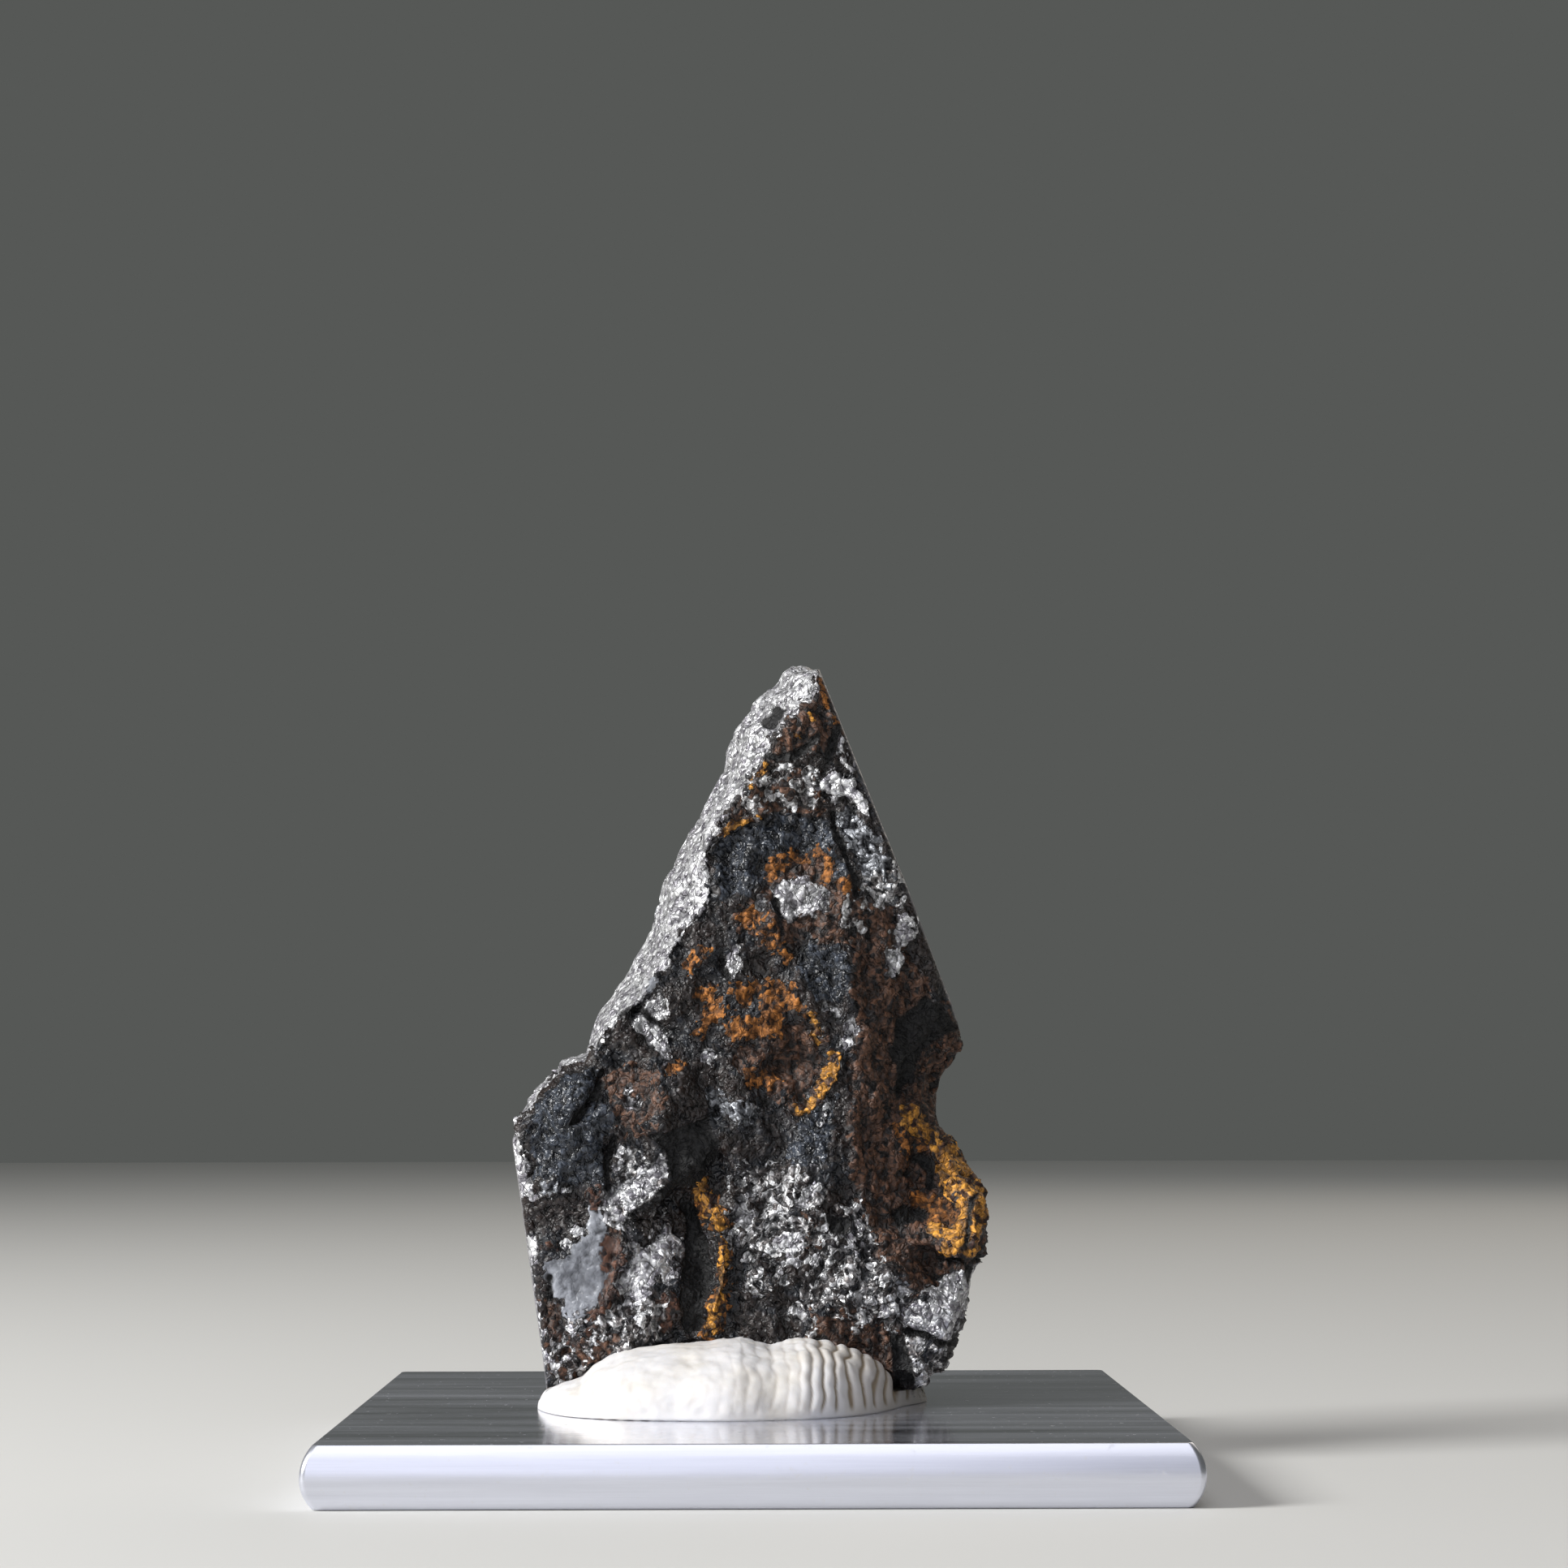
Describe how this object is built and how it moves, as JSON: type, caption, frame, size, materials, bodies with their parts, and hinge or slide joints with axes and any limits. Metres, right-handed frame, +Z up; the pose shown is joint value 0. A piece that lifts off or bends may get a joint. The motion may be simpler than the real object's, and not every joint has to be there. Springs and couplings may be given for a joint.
{
  "type": "iron meteorite",
  "caption": "Sawn iron meteorite with a weathered crust and bright bare metal, stood upright in white putty on a square aluminium display plate.",
  "frame": {"origin": "middle of the plate's underside, where the object rests", "axes": "+Z up to the meteorite's tip, -Y towards the viewer of the crust, +X to that viewer's right"},
  "size_m": [0.045, 0.045, 0.0453],
  "materials": {
    "bare_aluminium": "drawn bar, satin, with fine streaks along X",
    "white_putty": "soft satin putty with finger ridges",
    "weathered_iron": "dark oxide crust with rust and patches of bright bare metal"
  },
  "bodies": {
    "root": {"display_plate": "bare_aluminium", "putty": "white_putty", "meteorite": "weathered_iron"}
  },
  "joints": []
}
